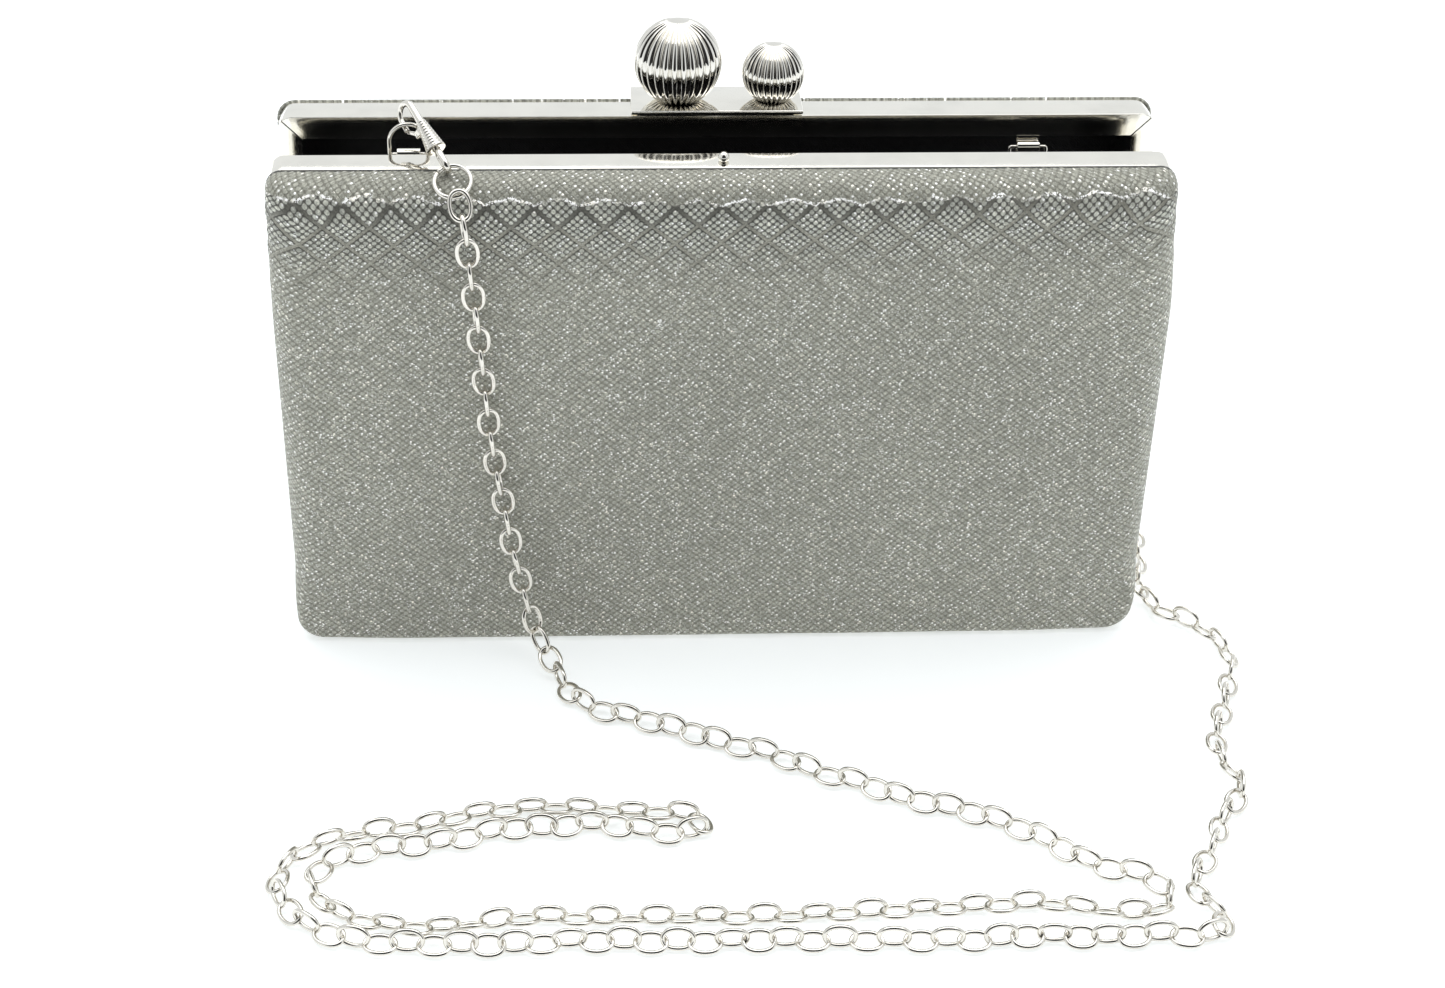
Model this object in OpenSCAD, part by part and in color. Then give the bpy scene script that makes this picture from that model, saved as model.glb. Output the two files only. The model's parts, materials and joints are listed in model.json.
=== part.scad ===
// Box clutch evening bag: two fabric covered shells in metal frames, joined by a bottom hinge,
// with a knobbed clasp plate on the rear frame and a detachable cable-chain strap.
// Units are millimetres. X runs along the bag, +Y to its rear, +Z up. Each half is drawn with the
// hinge axis at its origin, y outwards from the mating plane and z up, then tilted into place.

/* [Case] */
// Length of the metal frames
case_w = 210; // [180:1:240]
// Height of the metal frames above the hinge axis
case_h = 132; // [110:1:150]
// Depth of one half, from the mating plane to the outer face
half_depth = 18; // [18:0.5:24]
// Visible width of the front frame's band
front_band_w = 7; // [6:0.5:9]
// Visible width of the rear frame's band
rear_band_w = 10; // [8:0.5:10]
// Angle between the two halves as the bag stands open
opening = 8.4; // [7:0.2:9]

/* [Clasp] */
// Length of the clasp plate
plate_w = 41; // [38:1:46]
// Diameter of the large knob
large_knob_d = 21; // [18:0.5:22]
// Diameter of the small knob
small_knob_d = 15; // [12:0.5:16]

/* [Strap] */
// Width over the chain's links
chain_d = 5.6; // [5:0.1:5.8]
// Outer diameter of the jump rings
jump_ring_d = 9.5; // [9:0.1:10]

/* [Hidden] */

$fn = 48;
eps = 0.01;

// Colours
nickel = "#d9d4cc";
glitter = "#8b887f";
black = "#151515";
foam_grey = "#4a4a4a";
board = "#6b6257";

// Layers of each half, measured inwards from the outer face of the fabric
cover_t = 0.6;
padding_t = 0.7;
shell_t = 1.6;
lining_t = 0.6;
proud = 0.5;                              // fabric stands this far outside the metal band
metal_t = 0.8;
padding_in = cover_t;
shell_in = cover_t + padding_t;
lining_in = shell_in + shell_t;
cavity_in = lining_in + lining_t;

// Roundings of the fabric covered case
shoulder_r = 8;
bottom_r = 5;
side_r = 8;
top_corner_r = 4;
bottom_corner_r = 6;
arc_steps = 8;

// Frames
gap = 0.15;                               // half of the gap between the closed frames
lip_h = 5.6;
lip_y = gap + metal_t;                    // inner side of the lip, where the shell starts
mitre_w = 0.3;
mitre_inset = 1.4;

// Stance: both halves lean apart and stand on their rounded outer bottom edges
half_open = opening / 2;
hinge_z = bottom_r - (bottom_r - proud) * cos(half_open) + (half_depth - bottom_r) * sin(half_open);

// Hinge: two stations, each with two front knuckles around one rear knuckle
hinge_x = 60;
station_l = 26;
knuckle_l = 8.4;
knuckle_gap = 0.2;
barrel_r = 1.25;
pin_r = 0.65;
running_fit = 0.05;
leaf_t = 0.6;
leaf_h = 6.2;
leaf_z = 1.9;
window_y = 2.0;
window_z = 2.2;
rivet_r = 0.6;
rivet_z = 4.2;
rivet_x = 9;

// Clasp
plate_x = -0.6;
plate_y0 = -1.9;
plate_y1 = 14.1;
plate_t = 1;
spacer_t = 1;
knob_y = 6;
large_knob_x = -9.8;
small_knob_x = 13;
knob_flat = 1;                            // depth of the flat at the bottom of each knob
stud_r = 1.2;
stud_in_knob = 5;
bead_r = 1.3;
bead_y = 3.5;
bead_rise = 0.95;
bead_stem_r = 0.6;

// D-rings and their tabs
ring_wire_r = 0.5;
ring_half_w = 4.4;
ring_leg = 3.1;
tab_w = 5.4;
tab_barrel_r = 1.5;
tab_bore_r = ring_wire_r + running_fit;
tab_t = 0.5;
left_tab = [-73, 1.9, case_h - 1.2];      // barrel centre; y is to the rear of the front half's mating plane
left_ring_lean = 8;                       // lean of the left ring to the rear, from the front half's plane
right_tab = [74.5, -0.3, case_h - 8.1];   // barrel centre in the rear half

// Snap hooks: local z runs from the swivel end to the nose, local x towards the open leg
hook_r0 = 2.15;
hook_r1 = 1.25;
hook_body_l = 7.6;
hook_rib = 0.15;
hook_ribs = 9;
hook_bore_l = 2.6;
hook_wire_r = 0.6;
hook_throat = 5.2;                        // distance between the shank and the leg
hook_bend_z = 12.6;
hook_leg_z = 9.7;
gate_pivot = [2.1, 6.2];
gate_pin_r = 0.35;
gate_r = 0.45;
gate_w = 1.2;
eye_r = 1.6;
eye_wire_r = 0.5;
eye_near = -2.2;
eye_far = -4.65;
eye_stem_r = 0.8;
near_hook_at = [-66.1, -6, 136.8];        // swivel end of the near hook, in the front half
near_hook_tilt = 65;
near_hook_turn = 120;
near_hook_roll = 20;
near_eye_roll = -17;
far_hook_at = [72.5, 72.3, 2.25];

// Jump rings
jump_wire_r = 0.55;
jump_r = jump_ring_d / 2 - jump_wire_r;
near_jump_at = [-62.3, -13.6, 132.9];     // in the front half
near_jump_tilt = 27.5;
near_jump_turn = -7.8;
far_jump_z = 1.8;

// Route of the chain's centre line: over the front, along the table in long loops, round the right side
lay_z = chain_d / 2;
route = [
    [-60, -30.5, 127], [-58.5, -29, 106], [-55.5, -26.4, 70], [-51.5, -24.2, 36],
    [-47.5, -27.5, 14], [-41, -39.5, 4], [-32, -50.5, lay_z], [0, -64.5, lay_z], [42, -86.5, lay_z],
    [80, -107.5, lay_z], [97.5, -118, lay_z], [98.5, -124.5, lay_z], [89, -127.5, lay_z],
    [55, -124.5, lay_z], [0, -127, lay_z], [-66, -128.5, lay_z], [-90, -122.5, lay_z],
    [-95.5, -112.5, lay_z], [-86, -103.5, lay_z], [-46, -96.5, lay_z], [-12, -98.5, lay_z],
    [-4, -94.5, lay_z], [-12, -89.5, lay_z], [-48, -88, lay_z], [-82, -95, lay_z],
    [-103.5, -112, lay_z], [-92, -130, lay_z], [-60, -135.5, lay_z], [0, -135, lay_z],
    [70, -136, lay_z], [104, -135, lay_z], [110.5, -127, lay_z], [107.5, -114, lay_z],
    [122, -85, lay_z], [121, -62, lay_z], [129, -33, lay_z], [112.5, -9, lay_z],
    [115, 30, lay_z], [108, 62, lay_z], [87, 72.3, lay_z],
];
chain_sides = 8;
ring_step = 16.5;                         // longest distance between the tube's cross sections

// ---------------------------------------------------------------- outlines

function arc(c, r, a0, a1) =
    [for (i = [0 : arc_steps]) let (a = a0 + (a1 - a0) * i / arc_steps) c + r * [cos(a), sin(a)]];

// Side view of a half as (y, z), moved inwards by k; it runs on past the mating plane
function side_profile(k) = concat(
    arc([half_depth - bottom_r, bottom_r - proud], bottom_r - k, -90, 0),
    arc([half_depth - shoulder_r, case_h + proud - shoulder_r], shoulder_r - k, 0, 90),
    [[-half_depth, case_h + proud - k], [-half_depth, k - proud]]);

// Plan of a half as (x, y), moved inwards by k
function plan_profile(k) = let (x = case_w / 2 + proud - side_r) concat(
    [[-x - side_r + k, -half_depth], [x + side_r - k, -half_depth]],
    arc([x, half_depth - side_r], side_r - k, 0, 90),
    arc([-x, half_depth - side_r], side_r - k, 90, 180));

// Front view of a half as (x, z), moved inwards by k
function front_profile(k) =
    let (x = case_w / 2 + proud, z0 = -proud, z1 = case_h + proud, t = top_corner_r, b = bottom_corner_r)
    concat(
        arc([x - b, z0 + b], b - k, -90, 0), arc([x - t, z1 - t], t - k, 0, 90),
        arc([t - x, z1 - t], t - k, 90, 180), arc([b - x, z0 + b], b - k, 180, 270));

// Front view pushed through from y0 to y1
module front_prism(k, y0, y1)
    translate([0, y1, 0]) rotate([90, 0, 0]) linear_extrude(y1 - y0) polygon(front_profile(k));

// The case of one half, moved inwards by k
module pillow(k) intersection() {
    rotate([90, 0, 90]) linear_extrude(case_w + 4, center = true) polygon(side_profile(k));
    translate([0, 0, -2]) linear_extrude(case_h + 4) polygon(plan_profile(k));
    front_prism(k, -half_depth + 1, half_depth + 1);
}

// Open tray between two insets, starting at y0
module tray(outer, inner, y0) difference() {
    pillow(outer);
    pillow(inner);
    translate([-case_w, y0 - 2 * half_depth, -case_h / 2]) cube([2 * case_w, 2 * half_depth, 2 * case_h]);
}

// ---------------------------------------------------------------- placing

// Front half, seen from behind its mating plane, with y to the rear
module in_front() translate([0, 0, hinge_z]) rotate([half_open, 0, 0]) children();

// Halves drawn with y outwards
module front_half() in_front() mirror([0, 1, 0]) children();
module rear_half() translate([0, 0, hinge_z]) rotate([-half_open, 0, 0]) children();

module at_stations() for (s = [-1, 1]) translate([s * hinge_x, 0, 0]) children();

module near_hook(roll) in_front() translate(near_hook_at)
    rotate([0, near_hook_tilt, near_hook_turn]) rotate([0, 0, roll]) children();
module far_hook() translate(far_hook_at) rotate([0, -90, 0]) children();
module far_hook_turned() far_hook() rotate([0, 0, 90]) children();

// ---------------------------------------------------------------- case

// Room for the hinge leaf and its knuckles at one station
module hinge_window() {
    l = station_l + 2 * knuckle_gap;
    translate([-l / 2, -half_depth, -half_depth]) cube([l, half_depth + window_y, half_depth + window_z]);
    translate([-l / 2, lip_y - eps, 0]) cube([l, leaf_t + eps, leaf_h]);
}

module leaf_rivet_holes()
    for (x = [-rivet_x, rivet_x])
        translate([x, -half_depth, rivet_z]) rotate([-90, 0, 0]) cylinder(h = 2 * half_depth, r = rivet_r);

// L-section frame: a band round the case and a lip in the mating plane with mitred corners
module frame(band_w) difference() {
    union() {
        difference() {
            front_prism(proud, gap, band_w);
            front_prism(proud + metal_t, gap - 1, band_w + 1);
        }
        difference() {
            front_prism(proud, gap, lip_y);
            translate([-case_w / 2 + lip_h, -1, lip_h]) cube([case_w - 2 * lip_h, 4, case_h - 2 * lip_h]);
        }
    }
    for (x = [-1, 1], z = [0, 1])
        translate([x * case_w / 2, 0, z * case_h]) rotate([0, x * (z == 1 ? 45 : 135), 0])
            translate([-mitre_w / 2, gap - 1, -2 * lip_h])
                cube([mitre_w, metal_t + 1, 2 * lip_h - mitre_inset]);
    at_stations() {
        translate([-station_l / 2 - knuckle_gap, -1, -2])
            cube([station_l + 2 * knuckle_gap, window_y + 1, window_z + 2]);
        leaf_rivet_holes();
    }
}

module front_frame() color(nickel) front_half() difference() {
    frame(front_band_w);
    translate([0, bead_y, case_h - 2]) cylinder(h = 4, r = bead_stem_r);
}

module rear_frame() color(nickel) rear_half() difference() {
    frame(rear_band_w);
    at_knobs() translate([0, 0, case_h - 2]) cylinder(h = 4, r = stud_r);
}

module shell() difference() {
    tray(shell_in, lining_in, lip_y);
    at_stations() hinge_window();
}

module front_shell() color(board) front_half() shell();
module rear_shell() color(board) rear_half() shell();

module front_padding() color(foam_grey) front_half() tray(padding_in, shell_in, front_band_w);
module rear_padding() color(foam_grey) rear_half() tray(padding_in, shell_in, rear_band_w);

module front_cover() color(glitter) front_half() tray(0, padding_in, front_band_w);
module rear_cover() color(glitter) rear_half() tray(0, padding_in, rear_band_w);

module lining() difference() {
    tray(lining_in, cavity_in, lip_y);
    at_stations() hinge_window();
}

module front_lining() color(black) front_half() lining();
module rear_lining() color(black) rear_half() lining();

// ---------------------------------------------------------------- hinge

module knuckle(x0, x1, bore_r) difference() {
    union() {
        translate([x0, 0, 0]) rotate([0, 90, 0]) cylinder(h = x1 - x0, r = barrel_r);
        translate([x0, gap + eps, 0]) cube([x1 - x0, lip_y + leaf_t - gap - eps, leaf_z + eps]);
    }
    translate([x0 - 1, 0, 0]) rotate([0, 90, 0]) cylinder(h = x1 - x0 + 2, r = bore_r);
}

module hinge_leaf() difference() {
    translate([-station_l / 2, lip_y, leaf_z]) cube([station_l, leaf_t, leaf_h - leaf_z]);
    leaf_rivet_holes();
}

module front_hinge_leaves() color(nickel) front_half() at_stations() {
    hinge_leaf();
    knuckle(-station_l / 2, -knuckle_l / 2 - knuckle_gap, pin_r);
    knuckle(knuckle_l / 2 + knuckle_gap, station_l / 2, pin_r);
}

module rear_hinge_leaves() color(nickel) rear_half() at_stations() {
    hinge_leaf();
    knuckle(-knuckle_l / 2, knuckle_l / 2, pin_r + running_fit);
}

module hinge_pins() color(nickel) front_half() at_stations()
    translate([-station_l / 2, 0, 0]) rotate([0, 90, 0]) cylinder(h = station_l, r = pin_r);

module leaf_rivets() at_stations() for (x = [-rivet_x, rivet_x])
    translate([x, gap, rivet_z]) rotate([-90, 0, 0]) cylinder(h = metal_t + leaf_t, r = rivet_r);

module front_hinge_rivets() color(nickel) front_half() leaf_rivets();
module rear_hinge_rivets() color(nickel) rear_half() leaf_rivets();

// ---------------------------------------------------------------- clasp

plate_z = case_h + spacer_t;

module at_knobs() {
    translate([large_knob_x, knob_y, 0]) children();
    translate([small_knob_x, knob_y, 0]) children();
}

module clasp_plate() color(nickel) rear_half() difference() {
    translate([plate_x - plate_w / 2, plate_y0, plate_z]) cube([plate_w, plate_y1 - plate_y0, plate_t]);
    at_knobs() translate([0, 0, plate_z - 1]) cylinder(h = plate_t + 2, r = stud_r);
}

module plate_spacer() color(nickel) rear_half() difference() {
    translate([plate_x - plate_w / 2 + 2, gap + 1, case_h])
        cube([plate_w - 4, rear_band_w - 2, spacer_t]);
    at_knobs() translate([0, 0, case_h - 1]) cylinder(h = spacer_t + 2, r = stud_r);
}

// Ball with a small flat under it and a blind bore for its stud
module knob(x, d) color(nickel) rear_half() translate([x, knob_y, plate_z + plate_t]) difference() {
    translate([0, 0, d / 2 - knob_flat]) sphere(r = d / 2);
    translate([-d, -d, -2 * d]) cube([2 * d, 2 * d, 2 * d]);
    translate([0, 0, -1]) cylinder(h = stud_in_knob + 1, r = stud_r);
}

module large_knob() knob(large_knob_x, large_knob_d);
module small_knob() knob(small_knob_x, small_knob_d);

module knob_studs() color(nickel) rear_half() at_knobs() translate([0, 0, case_h - metal_t])
    cylinder(h = metal_t + spacer_t + plate_t + stud_in_knob, r = stud_r);

module catch_bead() color(nickel) front_half() translate([0, bead_y, case_h]) {
    difference() {
        translate([0, 0, bead_rise]) sphere(r = bead_r);
        translate([-2, -2, -4]) cube([4, 4, 4]);
    }
    translate([0, 0, -metal_t]) cylinder(h = metal_t + bead_rise, r = bead_stem_r);
}

// ---------------------------------------------------------------- rings and tabs

module tab_barrel() difference() {
    rotate([0, 90, 0]) cylinder(h = tab_w, r = tab_barrel_r, center = true);
    rotate([0, 90, 0]) cylinder(h = tab_w + 2, r = tab_bore_r, center = true);
}

// Plate of the tab's width, from y0 to y1 and z0 to z1
module tab_plate(y0, y1, z0, z1) translate([-tab_w / 2, y0, z0]) cube([tab_w, y1 - y0, z1 - z0]);

// The strip folds under the front lip, climbs its rear side and curls round the ring at the top
module left_ring_tab() color(nickel) in_front() translate([left_tab[0], 0, 0]) {
    z = left_tab[2];
    fold = case_h - lip_h;
    difference() {
        union() {
            translate([0, left_tab[1], z]) rotate([0, 90, 0])
                cylinder(h = tab_w, r = tab_barrel_r, center = true);
            tab_plate(-gap, -gap + tab_t, fold - tab_t, z);
            tab_plate(-gap, left_tab[1], z - tab_barrel_r, z - tab_barrel_r + tab_t);
        }
        translate([0, left_tab[1], z]) rotate([0, 90, 0])
            cylinder(h = tab_w + 2, r = tab_bore_r, center = true);
    }
    tab_plate(-lip_y - tab_t, -gap + tab_t, fold - tab_t, fold);
    tab_plate(-lip_y - tab_t, -lip_y, fold - tab_t, case_h - cavity_in);
}

// The strip is hooked over the rear lip's lower edge and curls round the ring below it
module right_ring_tab() color(nickel) rear_half() translate([right_tab[0], 0, 0]) {
    z = right_tab[2];
    fold = case_h - lip_h;
    difference() {
        union() {
            translate([0, right_tab[1], z]) rotate([0, 90, 0])
                cylinder(h = tab_w, r = tab_barrel_r, center = true);
            tab_plate(lip_y, lip_y + tab_t, z, case_h - cavity_in);
        }
        translate([0, right_tab[1], z]) rotate([0, 90, 0])
            cylinder(h = tab_w + 2, r = tab_bore_r, center = true);
    }
    tab_plate(-gap, lip_y + tab_t, fold - tab_t, fold);
    tab_plate(-gap, gap, fold - tab_t, fold + tab_t);
}

// Ring with its straight bar on the origin, standing up along z
module d_ring() {
    rotate([0, 90, 0]) cylinder(h = 2 * ring_half_w, r = ring_wire_r, center = true);
    for (s = [-1, 1]) translate([s * ring_half_w, 0, 0]) {
        sphere(r = ring_wire_r);
        cylinder(h = ring_leg, r = ring_wire_r);
    }
    translate([0, 0, ring_leg]) rotate([90, 0, 0])
        rotate_extrude(angle = 180) translate([ring_half_w, 0]) circle(r = ring_wire_r);
}

module left_d_ring() color(nickel) in_front() translate(left_tab) rotate([-left_ring_lean, 0, 0]) d_ring();
module right_d_ring() color(nickel) rear_half() translate(right_tab) rotate([180 + half_open, 0, 0]) d_ring();

// ---------------------------------------------------------------- snap hooks

// Ribbed taper with a bore for the swivel
module hook_barrel() difference() {
    rotate_extrude() polygon(concat(
        [[0, 0], [hook_r0, 0]],
        [for (i = [0 : 2 * hook_ribs - 1])
            let (f = (i + 0.5) / (2 * hook_ribs))
            [hook_r0 + (hook_r1 - hook_r0) * f + (i % 2 == 0 ? 0 : -hook_rib), f * hook_body_l]],
        [[hook_r1 - hook_rib, hook_body_l], [0, hook_body_l]]));
    translate([0, 0, -1]) cylinder(h = hook_bore_l + 1, r = eye_stem_r + running_fit);
}

module hook_body() difference() {
    union() {
        hook_barrel();
        translate([0, 0, hook_body_l - 1]) cylinder(h = hook_bend_z - hook_body_l + 1, r = hook_wire_r);
        translate([hook_throat / 2, 0, hook_bend_z]) rotate([90, 0, 0])
            rotate_extrude(angle = 180) translate([hook_throat / 2, 0]) circle(r = hook_wire_r);
        translate([hook_throat, 0, hook_leg_z]) cylinder(h = hook_bend_z - hook_leg_z, r = hook_wire_r);
        for (s = [-1, 1]) translate([0, s * (gate_w / 2 + 0.4), gate_pivot[1]])
            translate([0.4, -0.3, -0.8]) cube([gate_pivot[0] + 0.4, 0.6, 1.6]);
    }
    translate([0.75, -gate_w / 2 - 0.1, gate_pivot[1] - 1])
        cube([3, gate_w + 0.2, 2.4]);
    translate([gate_pivot[0], 0, gate_pivot[1]]) rotate([90, 0, 0]) cylinder(h = 6, r = gate_pin_r, center = true);
}

// Lever from the pivot to just under the leg's tip
module hook_gate() difference() {
    tip = [hook_throat, hook_leg_z - 0.15];
    reach = tip - gate_pivot;
    union() {
        translate([gate_pivot[0], 0, gate_pivot[1]]) {
            rotate([90, 0, 0]) cylinder(h = gate_w, r = 0.75, center = true);
            rotate([0, atan2(reach[0], reach[1]), 0])
                translate([-gate_r, -gate_w / 2, 0]) cube([2 * gate_r, gate_w, norm(reach) - gate_r]);
        }
    }
    translate([gate_pivot[0], 0, gate_pivot[1]]) rotate([90, 0, 0])
        cylinder(h = gate_w + 2, r = gate_pin_r + running_fit, center = true);
}

module gate_pin() translate([gate_pivot[0], 0, gate_pivot[1]]) rotate([90, 0, 0])
    cylinder(h = gate_w + 1.4, r = gate_pin_r, center = true);

// Swivel stem with an oval eye
module hook_eye() {
    translate([0, 0, eye_near + eye_r]) cylinder(h = hook_bore_l - 0.2 - eye_near - eye_r, r = eye_stem_r);
    for (s = [-1, 1]) translate([s * eye_r, 0, eye_far]) cylinder(h = eye_near - eye_far, r = eye_wire_r);
    translate([0, 0, eye_near]) rotate([90, 0, 0])
        rotate_extrude(angle = 180) translate([eye_r, 0]) circle(r = eye_wire_r);
    translate([0, 0, eye_far]) rotate([-90, 0, 0])
        rotate_extrude(angle = 180) translate([eye_r, 0]) circle(r = eye_wire_r);
}

module jump_ring() rotate_extrude() translate([jump_r, 0]) circle(r = jump_wire_r);

module near_hook_body() color(nickel) near_hook(near_hook_roll) hook_body();
module near_hook_gate() color(nickel) near_hook(near_hook_roll) hook_gate();
module near_gate_pin() color(nickel) near_hook(near_hook_roll) gate_pin();
module near_hook_eye() color(nickel) near_hook(near_eye_roll) hook_eye();
module near_jump_ring() color(nickel) in_front() translate(near_jump_at)
    rotate([0, 0, near_jump_turn]) rotate([near_jump_tilt, 0, 0]) jump_ring();

module far_hook_body() color(nickel) far_hook_turned() hook_body();
module far_hook_gate() color(nickel) far_hook_turned() hook_gate();
module far_gate_pin() color(nickel) far_hook_turned() gate_pin();
module far_hook_eye() color(nickel) far_hook() hook_eye();
module far_jump_ring() color(nickel)
    translate([far_hook_at[0] - eye_far + jump_r, far_hook_at[1], far_jump_z]) jump_ring();

// ---------------------------------------------------------------- chain

// Unit direction of the route at point i
function heading(i) =
    let (a = route[max(i - 1, 0)], b = route[min(i + 1, len(route) - 1)]) (b - a) / norm(b - a);

// Point at t, from 0 to 1, on the curve from route point i to the next
function between(i, t) =
    let (a = route[i], b = route[i + 1], l = norm(b - a) / 3,
         p = a + heading(i) * l, q = b - heading(i + 1) * l, s = 1 - t)
    s * s * s * a + 3 * s * s * t * p + 3 * s * t * t * q + t * t * t * b;

centre_line = concat(
    [for (i = [0 : len(route) - 2])
        let (n = ceil(norm(route[i + 1] - route[i]) / ring_step))
        for (k = [0 : n - 1]) between(i, k / n)],
    [route[len(route) - 1]]);

// Sideways and upwards directions of the tube's cross section at point i of the centre line
function along(i) =
    let (a = centre_line[max(i - 1, 0)], b = centre_line[min(i + 1, len(centre_line) - 1)])
    (b - a) / norm(b - a);
function sideways(i) = let (d = along(i), s = cross([0, -sin(30), cos(30)], d)) s / norm(s);
function upwards(i) = cross(along(i), sideways(i));

module strap_chain() color(nickel) {
    n = len(centre_line);
    m = chain_sides;
    r = chain_d / 2;
    points = [for (i = [0 : n - 1], k = [0 : m - 1])
        centre_line[i] + r * (cos(360 * k / m) * sideways(i) + sin(360 * k / m) * upwards(i))];
    walls = [for (i = [0 : n - 2], k = [0 : m - 1])
        [i * m + k, i * m + (k + 1) % m, (i + 1) * m + (k + 1) % m, (i + 1) * m + k]];
    near_end = [for (k = [m - 1 : -1 : 0]) k];
    far_end = [for (k = [0 : m - 1]) (n - 1) * m + k];
    polyhedron(points, concat(walls, [near_end, far_end]));
}

// ---------------------------------------------------------------- assembly

front_frame();
rear_frame();
front_shell();
rear_shell();
front_padding();
rear_padding();
front_cover();
rear_cover();
front_lining();
rear_lining();
front_hinge_leaves();
rear_hinge_leaves();
hinge_pins();
front_hinge_rivets();
rear_hinge_rivets();
clasp_plate();
plate_spacer();
large_knob();
small_knob();
knob_studs();
catch_bead();
left_ring_tab();
right_ring_tab();
left_d_ring();
right_d_ring();
near_hook_body();
near_hook_gate();
near_gate_pin();
near_hook_eye();
near_jump_ring();
strap_chain();
far_jump_ring();
far_hook_eye();
far_hook_body();
far_hook_gate();
far_gate_pin();
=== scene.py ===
"""Looks of the box clutch evening bag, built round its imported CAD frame.

All shapes are worked out in millimetres in the frame's axes and stored in metres.
"""

import json
import math
import random

import bmesh
import bpy
from mathutils import Matrix, Vector, noise


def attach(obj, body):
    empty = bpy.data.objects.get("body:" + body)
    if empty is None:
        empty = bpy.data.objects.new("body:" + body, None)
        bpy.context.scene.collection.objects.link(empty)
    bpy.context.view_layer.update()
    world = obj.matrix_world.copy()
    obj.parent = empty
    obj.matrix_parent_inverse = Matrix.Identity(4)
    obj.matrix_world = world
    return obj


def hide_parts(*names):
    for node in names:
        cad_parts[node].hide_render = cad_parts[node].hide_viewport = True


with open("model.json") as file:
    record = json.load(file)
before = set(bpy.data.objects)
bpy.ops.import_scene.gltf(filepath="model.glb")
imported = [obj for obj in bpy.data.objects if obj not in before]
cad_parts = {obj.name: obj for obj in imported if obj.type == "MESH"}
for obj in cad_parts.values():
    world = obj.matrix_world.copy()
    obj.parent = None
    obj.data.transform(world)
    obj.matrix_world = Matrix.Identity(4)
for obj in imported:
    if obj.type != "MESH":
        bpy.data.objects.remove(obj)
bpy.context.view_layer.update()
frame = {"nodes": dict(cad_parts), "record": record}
RNG = random.Random(7)

MM = 0.001

# Case, as in the CAD source
HALF_W = 105.5
Z0, Z1 = -0.5, 132.5
CASE_H = 132.0
DEPTH = 18.0
SHOULDER_R, BOTTOM_R = 8.0, 2.5
TOP_CORNER_R, BOTTOM_CORNER_R = 4.0, 6.0
LEAN = math.radians(4.2)
HINGE_Z = 5 - 4.5 * math.cos(LEAN) + 13 * math.sin(LEAN)
BAND = {"front": 7.0, "rear": 10.0}

IN_FRONT = Matrix.Translation((0, 0, HINGE_Z)) @ Matrix.Rotation(LEAN, 4, "X")
PLACE = {
    "front": IN_FRONT @ Matrix.Scale(-1, 4, (0, 1, 0)),
    "rear": Matrix.Translation((0, 0, HINGE_Z)) @ Matrix.Rotation(-LEAN, 4, "X"),
}
BODY = {"front": "front_half", "rear": "rear_half"}


# ---------------------------------------------------------------- nodes


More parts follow.
